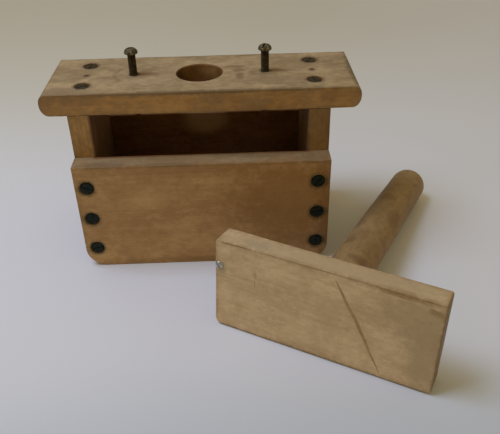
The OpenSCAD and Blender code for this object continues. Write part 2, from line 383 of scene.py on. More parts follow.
class Shader:
    """A node material, built one node at a time."""

    def __init__(self, name, specular=0.3, frame_matrix=None):
        self.material = bpy.data.materials.new(name)
        self.material.use_nodes = True
        self.tree = self.material.node_tree
        self.tree.nodes.clear()
        self.surface = self.add("ShaderNodeBsdfPrincipled")
        self.surface.inputs["Specular IOR Level"].default_value = specular
        output = self.add("ShaderNodeOutputMaterial")
        self.tree.links.new(self.surface.outputs[0], output.inputs["Surface"])
        coordinates = self.add("ShaderNodeTexCoord")
        self.place, self.normal = coordinates.outputs["Object"], coordinates.outputs["Normal"]
        if frame_matrix is not None:
            back = frame_matrix.inverted()
            turn = {"Vector": self.place, "Location": back.translation, "Rotation": back.to_euler()}
            self.place = self.add("ShaderNodeMapping", turn).outputs[0]

    def add(self, kind, inputs=None, **settings):
        node = self.tree.nodes.new(kind)
        for key, value in settings.items():
            setattr(node, key, value)
        for key, value in (inputs or {}).items():
            self.feed(node.inputs[key], value)
        return node

    def feed(self, socket, value):
        if isinstance(value, bpy.types.NodeSocket):
            self.tree.links.new(value, socket)
        elif socket.type == "RGBA":
            socket.default_value = (*value[:3], 1.0)
        else:
            socket.default_value = value

    def noise(self, size, detail=3.0, rough=0.55, seed=0.0, twist=0.0):
        """Noise from 0 to 1 with features of this size in metres, one number or one for each axis."""
        sizes = (size, size, size) if isinstance(size, float) else size
        scale = tuple(1 / s for s in sizes)
        shift = (seed * 1.7, seed * 0.9, -seed * 1.1)
        mapping = {"Vector": self.place, "Location": shift, "Scale": scale}
        place = self.add("ShaderNodeMapping", mapping).outputs[0]
        shape = {"Scale": 1.0, "Detail": detail, "Roughness": rough, "Distortion": twist}
        return self.add("ShaderNodeTexNoise", {"Vector": place, **shape}).outputs["Fac"]

    def math(self, operation, a, b=0.0):
        return self.add("ShaderNodeMath", {0: a, 1: b}, operation=operation).outputs[0]

    def plus(self, a, b):
        return self.math("ADD", a, b)

    def minus(self, a, b):
        return self.math("SUBTRACT", a, b)

    def times(self, a, b):
        return self.math("MULTIPLY", a, b)

    def part(self, vector, axis):
        """A vector's part along one axis."""
        return self.add("ShaderNodeSeparateXYZ", {0: vector}).outputs[axis]

    def between(self, value, low, high, out_low=0.0, out_high=1.0):
        """Value spread smoothly from low..high to out_low..out_high."""
        ends = {"From Min": low, "From Max": high, "To Min": out_low, "To Max": out_high}
        inputs = {"Value": value, **ends}
        return self.add("ShaderNodeMapRange", inputs, interpolation_type="SMOOTHSTEP").outputs[0]

    def mix(self, factor, a, b):
        """Colour a, turning into colour b as the factor goes from 0 to 1."""
        node = self.add("ShaderNodeMix", data_type="RGBA")
        self.feed(node.inputs[0], factor)
        self.feed(node.inputs[6], a)
        self.feed(node.inputs[7], b)
        return node.outputs[2]

    def vector(self, operation, a, b=None):
        """The node for a vector operation on one or two vectors."""
        inputs = {0: a} if b is None else {0: a, 1: tuple(b)}
        return self.add("ShaderNodeVectorMath", inputs, operation=operation)

    def attribute(self, name):
        return self.add("ShaderNodeAttribute", attribute_name=name).outputs["Fac"]

    def nearest(self, points):
        """Distance from the shaded spot to the nearest of these points."""
        found = None
        for point in points:
            distance = self.vector("DISTANCE", self.place, point).outputs["Value"]
            found = distance if found is None else self.math("MINIMUM", found, distance)
        return found

    def finish(self, colour, roughness, height=None, depth=0.1 * MM, strength=1.0):
        self.feed(self.surface.inputs["Base Color"], colour)
        self.feed(self.surface.inputs["Roughness"], roughness)
        if height is not None:
            relief = {"Strength": strength, "Distance": depth, "Height": height}
            bump = self.add("ShaderNodeBump", relief)
            self.tree.links.new(bump.outputs[0], self.surface.inputs["Normal"])
        return self.material


def along(axis, length, across):
    """Feature sizes that run along one axis, such as the grain's."""
    sizes = [across, across, across]
    sizes[axis] = length
    return tuple(sizes)


def wood_figure(s, grain, seed):
    """Shade from 0, pale, to 1, dark: broad drifts, soft mottling, faint streaks along the grain."""
    layers = (
        (s.noise(along(grain, 60 * MM, 18 * MM), 2, 0.5, seed, 0.3), 2.0),
        (s.noise(along(grain, 60 * MM, 1.1 * MM), 3, 0.55, seed + 3), 1.1),
        (s.noise(along(grain, 13 * MM, 8 * MM), 4, 0.6, seed + 5, 0.3), 1.6),
        (s.noise(along(grain, 5 * MM, 3 * MM), 4, 0.65, seed + 8), 2.0),
        (s.noise(along(grain, 3 * MM, 0.5 * MM), 3, 0.6, seed + 6), 1.2),
    )
    shade = 0.5
    for layer, weight in layers:
        shade = s.plus(shade, s.times(s.minus(layer, 0.5), weight))
    return s.add("ShaderNodeClamp", {"Value": shade}).outputs[0]


def tint(s, colour, patches, raggedness=1.6):
    """Blots the colour with soft-edged patches: (centre, three radii, tone, strength)."""
    uneven = s.noise(5 * MM, 5, 0.7, 90.0)
    ragged = s.times(s.minus(uneven, 0.5), raggedness)
    for centre, radii, tone, strength in patches:
        offset = s.vector("SUBTRACT", s.place, centre).outputs[0]
        scaled = s.vector("DIVIDE", offset, radii).outputs[0]
        reach = s.vector("LENGTH", scaled).outputs["Value"]
        amount = s.between(s.plus(reach, ragged), 1.15, 0.35)
        colour = s.mix(s.times(amount, strength), colour, tone)
    return colour


def ring_mark(s, colour, centre, radius, width, tone, strength):
    """A broken ring pressed into the top of the wood around a point, stronger on its left."""
    offset = s.vector("SUBTRACT", s.place, centre).outputs[0]
    reach = s.vector("LENGTH", offset).outputs["Value"]
    away = s.math("ABSOLUTE", s.minus(reach, radius))
    across = s.part(offset, X)
    leftward = s.between(across, -0.45 * radius, -0.85 * radius)
    broken = s.between(s.noise(2.5 * MM, 4, 0.65, 70.0), 0.40, 0.62)
    amount = s.times(s.times(s.between(away, width, 0.0), leftward), broken)
    return s.mix(s.times(amount, strength), colour, tone)


def wood(name, pale, dark, grain, seed, side=None, oil=None, blotch=0.5, edge=None, stains=(),
         stain_tone=(0, 0, 0), patches=(), ring=None, inside=None, pits=0.5, frame_matrix=None):
    """Close-grained, hand-worn wood, with its places in metres.

    side: pale and dark tone of the upright faces, where the upper ones differ.
    oil and blotch: tone and strength of greasy clouds. edge: (tone, amount) along the arrises.
    stains and stain_tone: places of screws that have stained the wood around them.
    patches: see tint. ring: see ring_mark. pits: strength of small dark marks.
    inside: (pale, dark, patches) of painted shade, and any painted light, where the board lines the
    chamber."""
    s = Shader(name, frame_matrix=frame_matrix)
    shade = wood_figure(s, grain, seed)
    colour = s.mix(shade, pale, dark)
    small_cloud = s.noise(5 * MM, 4, 0.65, seed + 15)
    if side:
        up = s.math("ABSOLUTE", s.part(s.normal, Z))
        upright = s.between(up, 0.85, 0.35)
        colour = s.mix(upright, colour, s.mix(shade, side[0], side[1]))
    if oil:
        cloud = s.times(s.noise(17 * MM, 5, 0.62, seed + 12, 0.8), 0.7)
        oily = s.between(s.plus(cloud, s.times(small_cloud, 0.3)), 0.44, 0.68)
        colour = s.mix(s.times(oily, blotch), colour, oil)
    colour = tint(s, colour, patches) if patches else colour
    fleck = s.between(s.noise(along(grain, 2.4 * MM, 0.42 * MM), 2, 0.5, seed + 9), 0.36, 0.27)
    colour = s.mix(s.times(fleck, pits), colour, tuple(0.4 * c for c in dark))
    if edge:
        rub = s.times(s.attribute("edge"), s.between(small_cloud, 0.34, 0.62, 0.15, 1.0))
        colour = s.mix(s.times(rub, edge[1]), colour, edge[0])
    if ring:
        colour = ring_mark(s, colour, *ring)
    if stains:
        uneven = s.minus(s.noise(2.2 * MM, 4, 0.65, seed + 17), 0.5)
        reach = s.plus(s.nearest(stains), s.times(uneven, 4 * MM))
        colour = s.mix(s.between(reach, 6.8 * MM, 3.4 * MM, 0, 0.95), colour, stain_tone)
    # Painted shade: the chamber's lining gets a darker colour and less specular.
    if inside:
        lined = s.attribute("inside")
        lining = tint(s, s.mix(shade, inside[0], inside[1]), inside[2], raggedness=0.4)
        colour = s.mix(lined, colour, lining)
        s.feed(s.surface.inputs["Specular IOR Level"], s.between(lined, 0.0, 1.0, 0.3, 0.03))
    fibre = s.noise(along(grain, 8 * MM, 0.4 * MM), 3, 0.6, seed + 6)
    raised = s.plus(fibre, s.times(shade, 0.4))
    relief = s.minus(raised, s.times(fleck, 0.6))
    return s.finish(colour, s.between(shade, 0.0, 1.0, 0.72, 0.56), relief, 0.1 * MM, 0.55)


def tarnished_metal(name, dull, bright, crust, seed, polish):
    """Old brass or steel: dull metal, rubbed bright in places, with a crust of tarnish."""
    s = Shader(name, specular=0.5)
    patch = s.noise(1.6 * MM, 4, 0.6, seed)
    grit = s.noise(0.35 * MM, 3, 0.6, seed + 4)
    colour = s.mix(s.between(patch, 0.42, 0.66), dull, bright)
    spread = s.plus(s.times(patch, 0.6), s.times(grit, 0.4))
    crusted = s.between(spread, 0.54, 0.36)
    colour = s.mix(crusted, colour, crust)
    s.feed(s.surface.inputs["Metallic"], s.between(crusted, 0.0, 1.0, 0.9, 0.1))
    rough = s.between(crusted, 0.0, 1.0, polish, 0.85)
    return s.finish(colour, rough, grit, 0.1 * MM, 0.25)


# ---- places taken from the CAD


def mid(node):
    """The middle of a node's box."""
    lo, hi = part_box(node)
    return (lo + hi) / 2


def above(lo, hi, height):
    """A shift to this height, over the middle of a box."""
    return Matrix.Translation(((lo[X] + hi[X]) / 2, (lo[Y] + hi[Y]) / 2, height))


def in_mm(corners):
    return [np.array(corner) / MM for corner in corners]


def own_box(node, matrix):
    """A CAD node's lowest and highest corners in another frame."""
    back = matrix.inverted()
    co = np.array([back @ v.co for v in frame["nodes"][node].data.vertices])
    return co.min(axis=0), co.max(axis=0)


def screw_size(node, outward):
    """The axis that the screws of a group lie along, their head radius and their length."""
    lo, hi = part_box(node)
    axis = next(k for k in range(3) if outward[k])
    radius = min(hi[k] - lo[k] for k in range(3) if k != axis) / 2
    return axis, radius, hi[axis] - lo[axis]


def screw_places(node, count, outward):
    """Middle of each screw head in a group, on the outer side, evenly spaced along the group."""
    lo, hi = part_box(node)
    axis, radius, _ = screw_size(node, outward)
    surface = hi[axis] if outward[axis] > 0 else lo[axis]
    spread = max((k for k in range(3) if k != axis), key=lambda k: hi[k] - lo[k])
    gap = (hi[spread] - lo[spread] - 2 * radius) / (count - 1)
    places = []
    for i in range(count):
        place = (lo + hi) / 2
        place[axis] = surface
        place[spread] = lo[spread] + radius + gap * i
        places.append(place)
    return places


def plunger_frame():
    """The plunger's own frame: Z up its handle, X along the plate, origin at the pressing face."""
    stroke = next(j for j in frame["joints"] if j["name"] == "plunger_stroke")
    up_handle = -Vector(stroke["axis"]).normalized()
    side = up_handle.cross(Vector((0, 0, 1))).normalized()
    turn = Matrix((side, up_handle.cross(side), up_handle)).transposed().to_4x4()
    lo, hi = own_box("plunger_plate", turn)
    return Matrix.Translation(turn @ above(lo, hi, lo[Z]).translation) @ turn


def chamber():
    """Lowest and highest corner of the space between the four walls."""
    left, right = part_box("left_end_board"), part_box("right_end_board")
    front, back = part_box("front_board"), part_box("back_board")
    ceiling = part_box("top_board")[LOW][Z]
    lo = np.array((left[HIGH][X], front[HIGH][Y], left[LOW][Z]))
    hi = np.array((right[LOW][X], back[LOW][Y], ceiling))
    return lo, hi


PLUNGER = plunger_frame()

# For each group of screws: how many, which way they face, and the turn of each slot in degrees
SCREW_GROUPS = {
    "front_left_screws": (3, (0, -1, 0), (20, 70, -15)),
    "front_right_screws": (3, (0, -1, 0), (75, 10, 50)),
    "back_left_screws": (3, (0, 1, 0), (130, 25, 80)),
    "back_right_screws": (3, (0, 1, 0), (50, -20, 100)),
    "top_left_screws": (2, (0, 0, 1), (35, 80)),
    "top_right_screws": (2, (0, 0, 1), (110, 60)),
}
SCREWS = {node: screw_places(node, spec[0], spec[1]) for node, spec in SCREW_GROUPS.items()}


# ---- materials


def on_face(x, y, z, wide, deep, high, tone, strength):
    """One patch of colour for tint, its centre and radii in millimetres."""
    return (x * MM, y * MM, z * MM), (wide * MM, deep * MM, high * MM), tone, strength


def top_wood():
    """Greyed and scrubbed, with rust, worn spots by the hole, grime along its edges and a painted
    shadow to the right of each bolt.
    """
    lo, hi = in_mm(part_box("top_board"))
    heads = SCREWS["top_left_screws"] + SCREWS["top_right_screws"]
    bolts = [mid(node) / MM for node in BOLTS]
    nails = [mid(node) / MM for node in NAILS]
    top, front = hi[Z], lo[Y]
    rust, scuff = (0.20, 0.11, 0.065), (0.20, 0.105, 0.05)
    grime, shaded = (0.15, 0.092, 0.04), (0.26, 0.165, 0.085)
    patches = [on_face(n[X], n[Y], top, 3.4, 3.4, 3.4, rust, 0.7) for n in nails]
    # Painted shadow: a darker patch just right of each bolt, where its shadow falls.
    patches += [on_face(b[X] + 8, b[Y], top, 11, 3, 4, (0.19, 0.115, 0.055), 0.65) for b in bolts]
    patches += [on_face(b[X], b[Y], top, 4.2, 4.2, 4, (0.07, 0.045, 0.022), 0.9) for b in bolts]
    patches += [
        on_face(21, 8, top, 8, 2.4, 4, scuff, 0.7),
        on_face(23, 2, top, 5, 3.4, 4, scuff, 0.7),
        on_face(24, -7, top, 3.2, 6, 4, scuff, 0.75),
        on_face(31, -3, top, 3, 4, 4, scuff, 0.4),
        on_face(-24, 4, top, 12, 9, 4, shaded, 0.35),
        on_face(-58, 20, top, 26, 4, 4, shaded, 0.35),
        on_face(50, -14, top, 30, 6, 4, shaded, 0.45),
        on_face(58, 10, top, 18, 14, 4, shaded, 0.45),
        on_face(-75, -22, top, 12, 5, 4, shaded, 0.5),
        on_face(0, front, top, 95, 2.8, 2.0, grime, 0.8),
        on_face(hi[X] - 2, 0, top - 1, 3.4, 34, 5, grime, 0.8),
        on_face(lo[X] + 1, 0, top - 1, 2.6, 34, 5, grime, 0.5),
        on_face(74, front, top - 5, 9, 3, 5, (0.22, 0.115, 0.04), 0.5),
        on_face(-66, front, top - 4, 14, 3, 4, (0.24, 0.13, 0.045), 0.45),
    ]
    pressed = (bolts[0][X] * MM, bolts[0][Y] * MM, top * MM)
    ring = (pressed, 11.2 * MM, 1.5 * MM, scuff, 0.7)
    return wood(
        "top_wood", (0.47, 0.32, 0.17), (0.28, 0.185, 0.09), X, 1.0,
        side=((0.455, 0.245, 0.078), (0.29, 0.145, 0.042)), oil=(0.25, 0.16, 0.075), blotch=0.6,
        edge=((0.20, 0.12, 0.05), 0.6), stains=heads, stain_tone=(0.085, 0.055, 0.028),
        patches=patches, ring=ring,
    )


def end_wood(name, pale, dark, seed):
    """Upright grain, oiled, darkened with painted shade where it lines the chamber."""
    return wood(
        name, pale, dark, Z, seed, oil=tuple(0.75 * c for c in dark),
        # inside: painted shade, a darker lining of the chamber.
        edge=((0.17, 0.09, 0.032), 0.6), inside=((0.225, 0.125, 0.065), (0.145, 0.077, 0.036), ()),
    )


def wall_wood(name, seed):
    """Soaked with butter and stained around its screws, with painted shade on the chamber's lining and
    a paler band of painted light high up on the inside.
    """
    heads = [p for node, places in SCREWS.items() if not node.startswith("top") for p in places]
    lo, hi = in_mm(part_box("front_board"))
    back_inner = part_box("back_board")[0][Y] / MM
    warm, deep = (0.30, 0.15, 0.045), (0.23, 0.11, 0.032)
    dirt, smear = (0.20, 0.125, 0.06), (0.09, 0.07, 0.025)
    front = lo[Y]
    patches = [
        on_face(50, front, 42, 38, 20, 44, (0.27, 0.13, 0.032), 0.65),
        on_face(75, front, 36, 9, 20, 60, deep, 0.7),
        on_face(71, front, 56, 5, 5, 3.6, smear, 0.7),
        on_face(71, front, 35, 5, 5, 3.6, smear, 0.75),
        on_face(70, front, 14, 4.6, 5, 4, smear, 0.6),
        on_face(-71, front, 35, 4, 5, 3.4, smear, 0.5),
        on_face(-71, front, 56, 4, 5, 3.4, smear, 0.5),
        on_face(-10, front, hi[Z] - 3, 60, 6, 5, warm, 0.5),
        on_face(0, front, 2.5, 70, 6, 3, deep, 0.5),
        on_face(14, front, 30, 9, 6, 6, warm, 0.35),
        on_face(-50, front, 52, 9, 6, 6, warm, 0.35),
        on_face(-30, front, 22, 12, 6, 5, warm, 0.25),
        on_face(-58, front + 2, hi[Z], 16, 5, 2, dirt, 0.7),
        on_face(-20, front + 1, hi[Z], 22, 3, 2, dirt, 0.6),
        on_face(30, front + 9, hi[Z], 30, 4, 2, dirt, 0.5),
        on_face(66, front + 4, hi[Z], 14, 8, 2, dirt, 0.6),
    ]
    # Painted light: a paler patch high on the back wall's inner face, where light through the handle
    # hole falls.
    painted_light_patch = [on_face(0, back_inner, 66, 18, 6, 13, (0.42, 0.245, 0.135), 0.75)]
    return wood(
        name, (0.40, 0.265, 0.145), (0.29, 0.178, 0.085), X, seed,
        side=((0.53, 0.315, 0.132), (0.39, 0.212, 0.076)), oil=(0.33, 0.18, 0.06),
        edge=((0.22, 0.12, 0.045), 0.6), stains=heads, stain_tone=(0.05, 0.05, 0.02), patches=patches,
        # inside: painted shade, a much darker lining of the chamber, with the patch of painted light.
        inside=((0.21, 0.092, 0.036), (0.13, 0.054, 0.02), painted_light_patch),
    )


def plate_wood():
    """Pale and scrubbed, duller to the right, with painted shade on its right end and a bare upper
    edge.
    """
    lo, hi = in_mm(own_box("plunger_plate", PLUNGER))
    upper, right = lo[Y], hi[X]
    duller = (0.44, 0.305, 0.166)
    patches = [
        on_face(48, -14, 0, 22, 18, 5, duller, 0.75),
        on_face(54, 8, 0, 12, 26, 5, duller, 0.8),
        on_face(48, upper, 6, 20, 1.5, 11, (0.43, 0.315, 0.175), 0.5),
        # Painted shade: the right end face darkened, as it turns away from the light.
        on_face(right, 0, 6, 1.0, 70, 20, (0.19, 0.125, 0.06), 0.85),
        on_face(56, -21, 0, 5, 2.2, 3, (0.33, 0.20, 0.09), 0.7),
        on_face(40, -24.6, 0, 14, 1.2, 3, (0.36, 0.21, 0.085), 0.7),
        on_face(37, upper, 1, 13, 3, 3, (0.30, 0.17, 0.06), 0.7),
        on_face(-37, upper, 6, 9, 3, 5, (0.30, 0.24, 0.16), 0.55),
        on_face(0, upper, 6, 75, 1.5, 11, (0.465, 0.33, 0.187), 0.75),
        on_face(-58, -10, 0, 5, 5, 5, (0.36, 0.29, 0.19), 0.5),
        on_face(-37, -12, 0, 1.2, 3, 4, (0.34, 0.21, 0.10), 0.5),
    ]
    return wood(
        "plate_wood", (0.71, 0.51, 0.29), (0.55, 0.375, 0.197), X, 61.0,
        oil=(0.45, 0.30, 0.145), blotch=0.45, edge=((0.30, 0.17, 0.07), 0.6),
        patches=patches, frame_matrix=PLUNGER,
    )


def handle_wood():
    """Darkened by hands, in dark blots from the plate to the paler tip."""
    dark, pale = (0.15, 0.08, 0.032), (0.52, 0.36, 0.19)
    patches = [
        on_face(0, -12, 24, 9, 9, 5, dark, 0.6),
        on_face(6, -10, 42, 8, 8, 5, dark, 0.55),
        on_face(-6, -11, 60, 5, 5, 4, dark, 0.5),
        on_face(-7, -9, 84, 4, 4, 9, dark, 0.5),
        on_face(9, -8, 100, 7, 7, 12, dark, 0.5),
        on_face(-3, -11, 122, 8, 8, 6, dark, 0.45),
        on_face(0, 0, 170, 16, 16, 24, pale, 0.5),
        on_face(0, -6, 105, 13, 13, 18, (0.22, 0.13, 0.046), 0.5),
    ]
    return wood(
        "handle_wood", (0.355, 0.22, 0.092), (0.25, 0.145, 0.056), Z, 81.0,
        oil=(0.19, 0.108, 0.04), blotch=0.45, patches=patches, pits=0.85, frame_matrix=PLUNGER,
    )


def stained_hole():
    """The oily, end-grained lining of every hole in the box."""
    patches = (
        on_face(-13, -2, 103, 9, 12, 12, (0.05, 0.022, 0.008), 0.8),
        on_face(6, 13, 106, 8, 5, 4, (0.36, 0.19, 0.06), 0.5),
    )
    return wood("hole_wood", (0.23, 0.105, 0.024), (0.13, 0.058, 0.014), X, 101.0, patches=patches)


def crack_wood():
    """The darker wood and dirt inside the plate's cracks."""
    pale, dark = (0.49, 0.32, 0.155), (0.37, 0.225, 0.10)
    return wood("crack_wood", pale, dark, X, 111.0, frame_matrix=PLUNGER)


def bolt_brass(under_head):
    """Old brass: a browned shank under a head that is rubbed bright in a few spots."""
    s = Shader("old_brass")
    patch = s.noise(1.6 * MM, 4, 0.6, 25.0)
    grit = s.noise(0.35 * MM, 3, 0.6, 29.0)
    height = s.part(s.place, Z)
    head = s.between(height, under_head - 0.4 * MM, under_head + 0.2 * MM)
    shank_tone = s.mix(s.between(patch, 0.35, 0.65), (0.030, 0.019, 0.009), (0.068, 0.046, 0.02))
    rubbed = s.between(s.plus(patch, s.times(grit, 0.3)), 0.64, 0.86)
    head_tone = s.mix(rubbed, (0.06, 0.045, 0.02), (0.44, 0.33, 0.155))
    shiny = s.times(head, s.between(rubbed, 0.0, 1.0, 0.4, 0.9))
    s.feed(s.surface.inputs["Metallic"], shiny)
    s.feed(s.surface.inputs["Specular IOR Level"], s.between(head, 0.0, 1.0, 0.12, 0.5))
    rough = s.between(rubbed, 0.0, 1.0, 0.65, 0.45)
    return s.finish(s.mix(head, shank_tone, head_tone), rough, grit, 0.06 * MM, 0.3)


# ---- pieces


def stand_for(node, mesh, body, material=None, matrix=None, sharp=SHARP):
    """Puts the mesh in the CAD node's place on its body; a material replaces the mesh's own.

    It is shaded smooth, but for edges that turn more than the sharp angle."""
    mesh.shade_smooth()
    mesh.set_sharp_from_angle(angle=sharp)
    if material is not None:
        mesh.materials.clear()
        mesh.materials.append(material)
    obj = add_object(node + "_look", mesh, matrix)
    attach(obj, body)
    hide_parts(node)


def screw_hole(length, head_radius):
    """A cutter for one countersunk screw, its head's face at height 0 and its point down."""
    gap = 0.22 * MM
    depth = head_radius - SCREW_SHANK
    foot, shank, rim = -length - gap, SCREW_SHANK + gap / 3, head_radius + 2.4 * gap
    rings = [
        (0, foot),
        (shank, foot),
        (shank, -0.5 * MM - depth),
        (head_radius + gap, -0.35 * MM),
        (head_radius + gap, -0.1 * MM),
        (rim, 0.4 * MM),
        (rim, 2 * MM),
        (0, 2 * MM),
    ]
    return turned(rings, 40)


def dome(radius, low, top, count, fullness):
    """Rings of a round head, from its rim to its top; a fullness below 1 squares it off."""
    rings = []
    for i in range(1, count):
        angle = math.radians(90 * i / count)
        height = low + (top - low) * math.sin(angle) ** fullness[1]
        rings.append((radius * math.cos(angle) ** fullness[0], height))
    return rings + [(0, top)]


def slotted(mesh, length, slot, top, degrees):
    """The mesh with a screwdriver slot across its top, a little wider at the top."""
    width, depth = slot
    cutter = bpy.data.meshes.new("slot")
    bm = bmesh.new()
    bmesh.ops.create_cube(bm, size=1.0)
    for v in bm.verts:
        high = v.co.z > 0
        v.co.x *= length
        v.co.y *= width * (1.15 if high else 0.85)
        v.co.z = top + 0.5 * MM if high else top - depth
    bm.to_mesh(cutter)
    bm.free()
    return cut(mesh, [(cutter, Matrix.Rotation(math.radians(degrees), 4, "Z"))])


def wood_screw(socket_radius, length, slot_turn):
    """A countersunk slotted wood screw with its thread, its worn head's face at height 0."""
    head = WORN_HEAD * socket_radius
    cone = head - SCREW_SHANK
    tip = -length + 0.2 * MM

    def taper(height):
        return min(1.0, 0.12 + (height - tip) / (7 * MM))

    rings = [(0, -length)]
    rings += thread_rings(tip, -SCREW_PLAIN, SCREW_CORE, SCREW_SHANK, SCREW_PITCH, 8, taper)
    rings += [(SCREW_SHANK, -SCREW_PLAIN + 0.6 * MM), (SCREW_SHANK, -0.4 * MM - cone)]
    rings += [(head, -0.4 * MM), (head, -0.22 * MM), (head - 0.2 * MM, -0.06 * MM)]
    rings += [(0.7 * head, -0.01 * MM), (0, 0)]
    return slotted(turned(rings, 28), 3 * head, SCREW_SLOT, 0, slot_turn)


def screw_matrix(place, outward):
    """Puts a screw's head at this place, with its face outward."""
    turn = Vector(outward).to_track_quat("Z", "Y").to_matrix().to_4x4()
    return Matrix.Translation(place) @ turn


def fastener_holes():
    """Cutters for every screw and nail of the box."""
    holes = []
    for node, (_, outward, _) in SCREW_GROUPS.items():
        _, radius, length = screw_size(node, outward)
        for place in SCREWS[node]:
            holes.append((screw_hole(length, radius), screw_matrix(place, outward)))
    return holes + [nail_hole(node) for node in NAILS]


def reaches(cutter, matrix, lo, hi):
    """Whether a cutter's box meets the box from lo to hi."""
    points = np.array([matrix @ v.co for v in cutter.vertices])
    return bool(np.all((points.min(axis=0) < hi) & (points.max(axis=0) > lo)))


def build_screws(wall_material, top_material):
    """The box's wood screws, one piece for each group, every slot at its own angle."""
    for node, (_, outward, turns) in SCREW_GROUPS.items():
        _, radius, length = screw_size(node, outward)
        parts = [
            (wood_screw(radius, length, turn), screw_matrix(place, outward))
            for place, turn in zip(SCREWS[node], turns)
        ]
        mesh = joined(parts)
        material = top_material if node.startswith("top") else wall_material
        stand_for(node, mesh, "box", material)


def nail_size(node):
    """A nail's head radius and length, and the shift from the origin to its head."""
    lo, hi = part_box(node)
    return (hi[X] - lo[X]) / 2, hi[Z] - lo[Z], above(lo, hi, hi[Z])


def build_nails(material):
    """The two nails of the top board, with flat, slightly sunk heads."""
    for node in NAILS:
        head, length, shift = nail_size(node)
        rings = [(0, -length), (0.5 * NAIL_SHANK, -length + 0.8 * MM)]
        rings += [(NAIL_SHANK, -length + 2.2 * MM), (NAIL_SHANK, -0.9 * MM), (head, -0.5 * MM)]
        rings += [(head, -0.2 * MM), (0.6 * head, -0.03 * MM), (0, 0)]
        mesh = turned(rings, 24)
        stand_for(node, mesh, "box", material, shift)


def nail_hole(node):
    """A cutter for one nail, and its place."""
    head, length, shift = nail_size(node)
    foot, shank, rim = -length - 0.1 * MM, NAIL_SHANK + 0.05 * MM, head + 0.25 * MM
    rings = [(0, foot), (shank, foot), (shank, -0.9 * MM), (head + 0.1 * MM, -0.55 * MM)]
    rings += [(rim, 0.1 * MM), (rim, 2 * MM), (0, 2 * MM)]
    return turned(rings, 24), shift


def build_bolts(material):
    """Round-head slotted bolts, threaded right up to the head."""
    for node, body, turn in zip(BOLTS, ("left_bolt", "right_bolt"), (30, 65)):
        lo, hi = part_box(node)
        head = (hi[X] - lo[X]) / 2
        under = hi[Z] - BOLT_HEAD
        start, end = lo[Z] + 0.3 * MM, under - 0.3 * MM
        rings = [(0, lo[Z]), (BOLT_RADIUS - 0.55 * MM, lo[Z])]
        rings += thread_rings(start, end, BOLT_RADIUS - 0.36 * MM, BOLT_RADIUS, BOLT_PITCH)
        rings += [(BOLT_RADIUS - 0.2 * MM, under), (head - 0.35 * MM, under)]
        rings += [(head - 0.08 * MM, under + 0.12 * MM), (head, under + BOLT_RIM)]
        rings += dome(head, under + BOLT_RIM, hi[Z], 9, (0.86, 0.95))
        mesh = slotted(turned(rings, 36), 3 * head, BOLT_SLOT, hi[Z], turn)
        stand_for(node, mesh, body, material, above(lo, hi, 0), ROUND_HEAD_SHARP)


def build_box(lining):
    """The five boards of the box, with their screw, bolt and handle holes."""
    lo_top, hi_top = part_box("top_board")
    holes = [(bore(HANDLE_HOLE, lo_top[Z], hi_top[Z], 0.9 * MM), Matrix.Identity(4))]
    for node in BOLTS:
        shift = above(*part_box(node), 0)
        holes.append((bore(BOLT_HOLE, lo_top[Z], hi_top[Z], 0.25 * MM), shift))
    holes += fastener_holes()
    noses = [
        (X, end, Z, *nose)
        for end in (LOW, HIGH)
        for nose in ((LOW, NOSE_BOTTOM, 1.0), (HIGH, NOSE_TOP, NOSE_BACK))
    ]
    feet = [(X, end, Z, LOW, (FOOT_ROUND, FOOT_ROUND), 1.0) for end in (LOW, HIGH)]
    left_wood = end_wood("left_end_wood", (0.46, 0.262, 0.088), (0.31, 0.165, 0.052), 21.0)
    right_wood = end_wood("right_end_wood", (0.30, 0.168, 0.058), (0.21, 0.108, 0.034), 26.0)
    boards = (
        ("top_board", "top_wood", top_wood(), noses, 3),
        ("left_end_board", "end_wood", left_wood, feet[:1], 7),
        ("right_end_board", "end_wood", right_wood, feet[1:], 11),
        ("front_board", "wall_wood", wall_wood("front_wood", 41.0), feet, 16),
        ("back_board", "wall_wood", wall_wood("back_wood", 47.0), feet, 23),
    )
    for node, slot_name, material, corners, seed in boards:
        lo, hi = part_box(node)
        mesh = worn_board(lo, hi, corners, seed)
        if node == "top_board":
            skew_ends(mesh, lo, hi)
        mesh.materials.append(material)
        mesh = cut(mesh, [hole for hole in holes if reaches(*hole, lo, hi)], lining)
        mark_edges(mesh, lo, hi)
        mark_inside(mesh)
        stand_for(node, mesh, "box")


def groove(points, start_width, end_width, depth):
    """A cutter for a crack along these places on the plate's face, in mm, fading at both ends."""
    verts, faces = [], []
    count = len(points)
    for i, point in enumerate(points):
        ahead = Vector(points[min(i + 1, count - 1)]) - Vector(points[max(i - 1, 0)])
        side = Vector((-ahead.y, ahead.x)).normalized()
        fade = max(0.12, math.sin(math.pi * (i + 0.5) / count) ** 0.35)
        width = start_width + (end_width - start_width) * i / (count - 1)
        half = side * width * fade * 0.5
        verts.append((point[X] - half.x, point[Y] - half.y, -GROOVE_RISE_MM))
        verts.append((point[X] + half.x, point[Y] + half.y, -GROOVE_RISE_MM))
        verts.append((point[X], point[Y], depth * fade))
    for i in range(count - 1):
        a, b = 3 * i, 3 * i + 3
        for j, k in ((0, 1), (1, 2), (2, 0)):
            faces.append((a + j, a + k, b + k, b + j))
    faces.append((2, 1, 0))
    faces.append((3 * count - 3, 3 * count - 2, 3 * count - 1))
    return mesh_from(verts, faces)


def bowed(start, end, bulge, wobble, seed, count):
    """Points from start to end along a shallow bow, a little shaky, in mm."""
    a, b = Vector(start), Vector(end)
    side = Vector((-(b - a).y, (b - a).x)).normalized()
    points = []
    for i in range(count):
        t = i / (count - 1)
        shake = noise.noise(Vector((t * 6, seed, 0))) * wobble
        points.append(tuple(a.lerp(b, t) + side * (bulge * math.sin(math.pi * t) + shake)))
    return points


